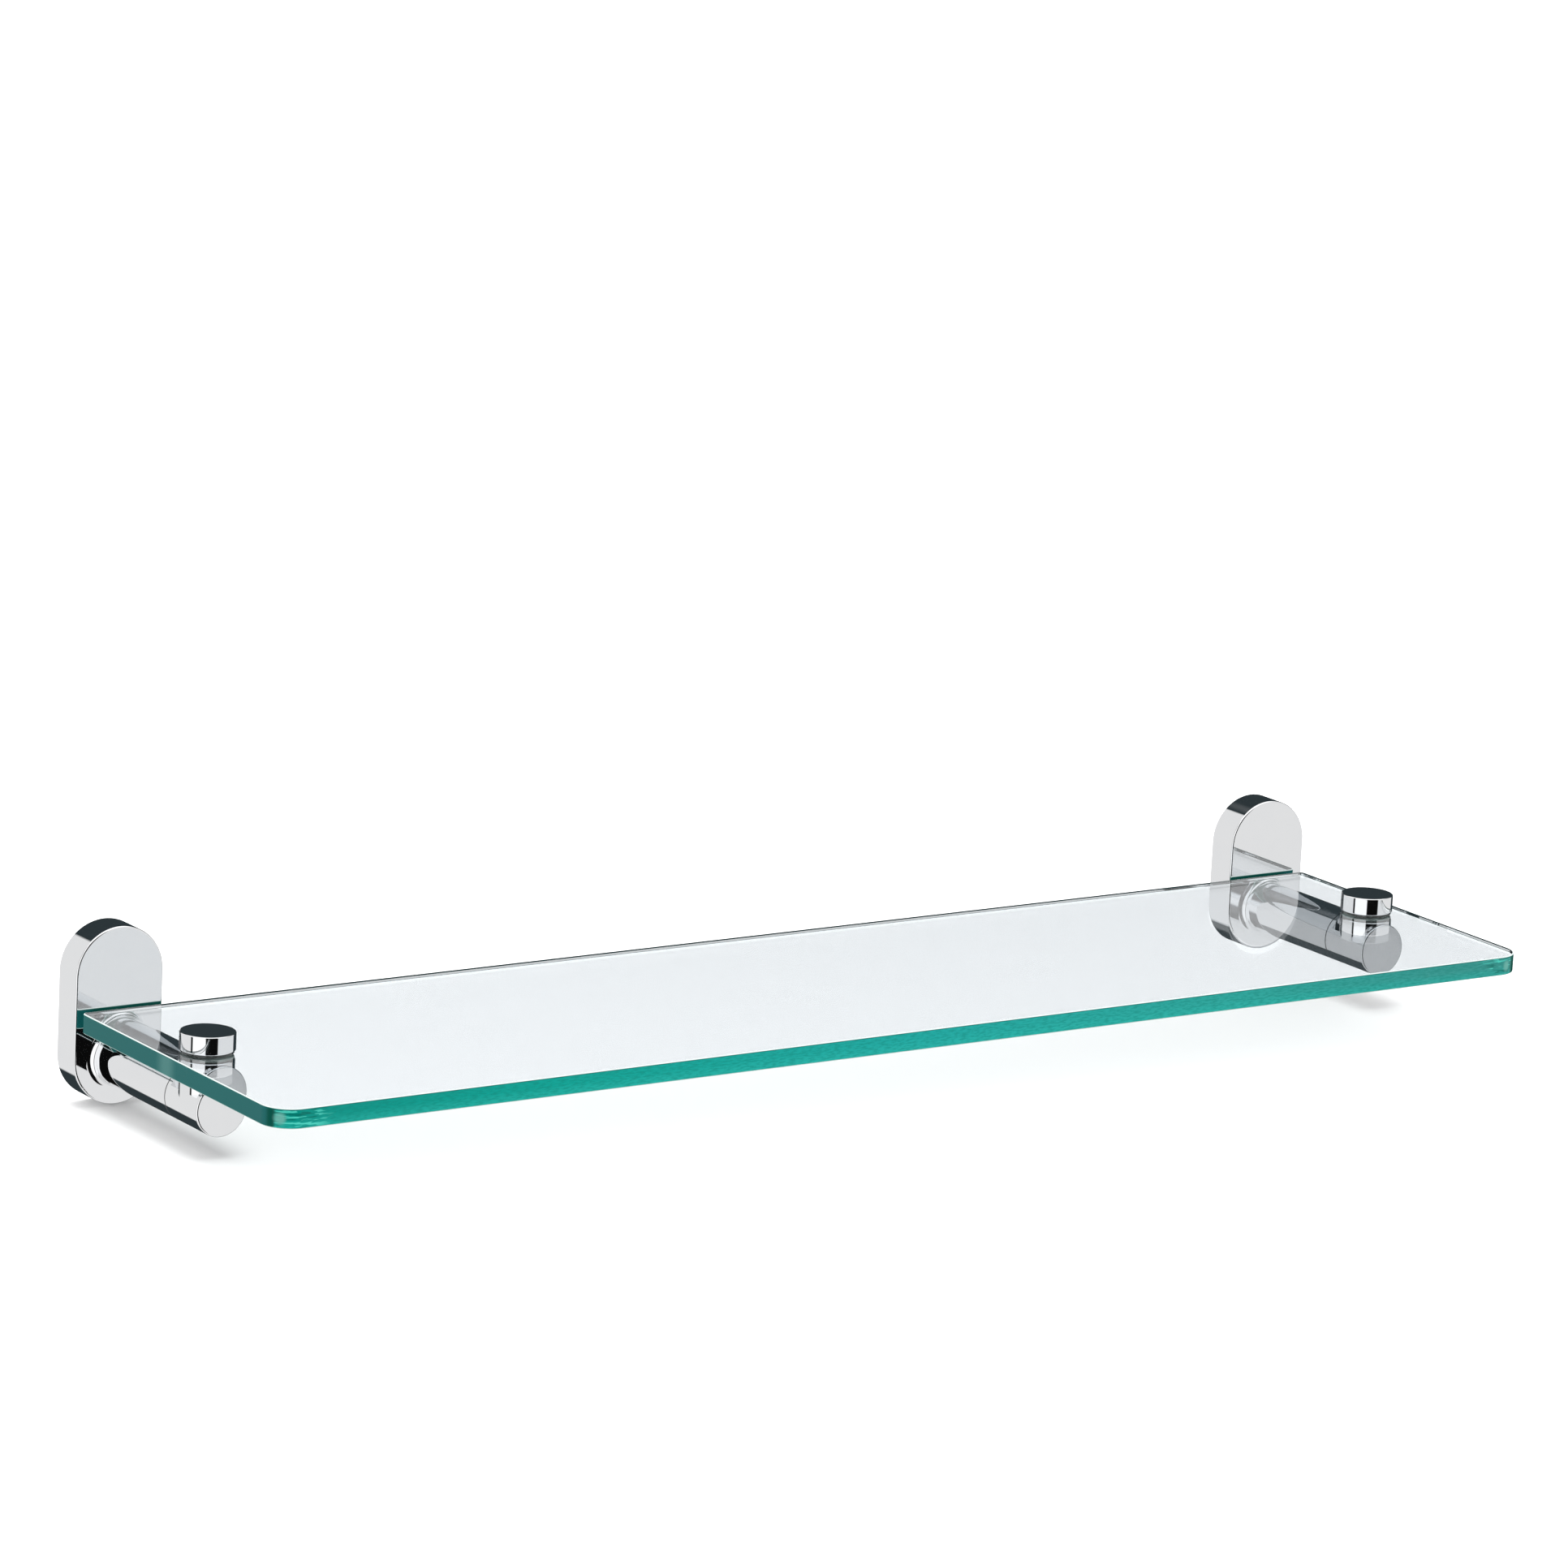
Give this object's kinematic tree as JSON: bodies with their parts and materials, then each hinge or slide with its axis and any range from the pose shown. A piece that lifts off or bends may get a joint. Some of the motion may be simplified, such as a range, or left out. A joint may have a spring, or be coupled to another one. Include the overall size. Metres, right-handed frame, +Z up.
{
  "type": "wall shelf with brackets",
  "caption": "Toughened glass wall shelf clamped on chrome brackets with oval wall covers, round arms and flat clamping knobs.",
  "frame": {"origin": "on the wall plane, at the centre of the rectangle of the four wall-plate screw holes, midway between the brackets", "axes": "+X along the shelf to the viewer's right, +Y into the wall, +Z up; the shelf stands out towards -Y"},
  "size_m": [0.6026, 0.1699, 0.072],
  "materials": {
    "clear_glass": "clear toughened float glass with ground and polished edges, green when seen through the edge",
    "chrome_plate": "bright chrome plate on die-cast zinc",
    "clear_plastic": "clear soft vinyl",
    "zinc_steel": "zinc-plated pressed steel",
    "stainless_steel": "turned stainless steel",
    "black_steel": "black oxide socket screw"
  },
  "bodies": {
    "shelf": {"glass_shelf": "clear_glass", "left_bracket": "chrome_plate", "left_clamp_head": "chrome_plate", "left_arm_screw": "black_steel", "left_wall_plate": "zinc_steel", "left_grub_screw": "stainless_steel", "left_lower_washer": "clear_plastic", "left_hole_sleeve": "clear_plastic", "right_bracket": "chrome_plate", "right_clamp_head": "chrome_plate", "right_arm_screw": "black_steel", "right_wall_plate": "zinc_steel", "right_grub_screw": "stainless_steel", "right_lower_washer": "clear_plastic", "right_hole_sleeve": "clear_plastic"},
    "left_washer_body": {"left_upper_washer": "clear_plastic"},
    "left_knob_body": {"left_knob": "chrome_plate", "left_knob_stud": "stainless_steel"},
    "right_washer_body": {"right_upper_washer": "clear_plastic"},
    "right_knob_body": {"right_knob": "chrome_plate", "right_knob_stud": "stainless_steel"}
  },
  "joints": [
    {"name": "left_knob_lift", "type": "slide", "parent": "shelf", "child": "left_washer_body", "axis": [0, 0, 1], "range_m": [0, 0.0082]},
    {"name": "left_knob_turn", "type": "hinge", "parent": "left_washer_body", "child": "left_knob_body", "pos_m": [-0.282, -0.08465, 0.0043], "axis": [0, 0, 1], "range_deg": [0, 3600]},
    {"name": "right_knob_lift", "type": "slide", "parent": "shelf", "child": "right_washer_body", "axis": [0, 0, 1], "range_m": [0, 0.0082]},
    {"name": "right_knob_turn", "type": "hinge", "parent": "right_washer_body", "child": "right_knob_body", "pos_m": [0.282, -0.08465, 0.0043], "axis": [0, 0, 1], "range_deg": [0, 3600]}
  ],
  "couplings": [
    {"joint": "left_knob_lift", "follows": "left_knob_turn", "m_per_rad": 0.00012732},
    {"joint": "right_knob_lift", "follows": "right_knob_turn", "m_per_rad": 0.00012732}
  ]
}
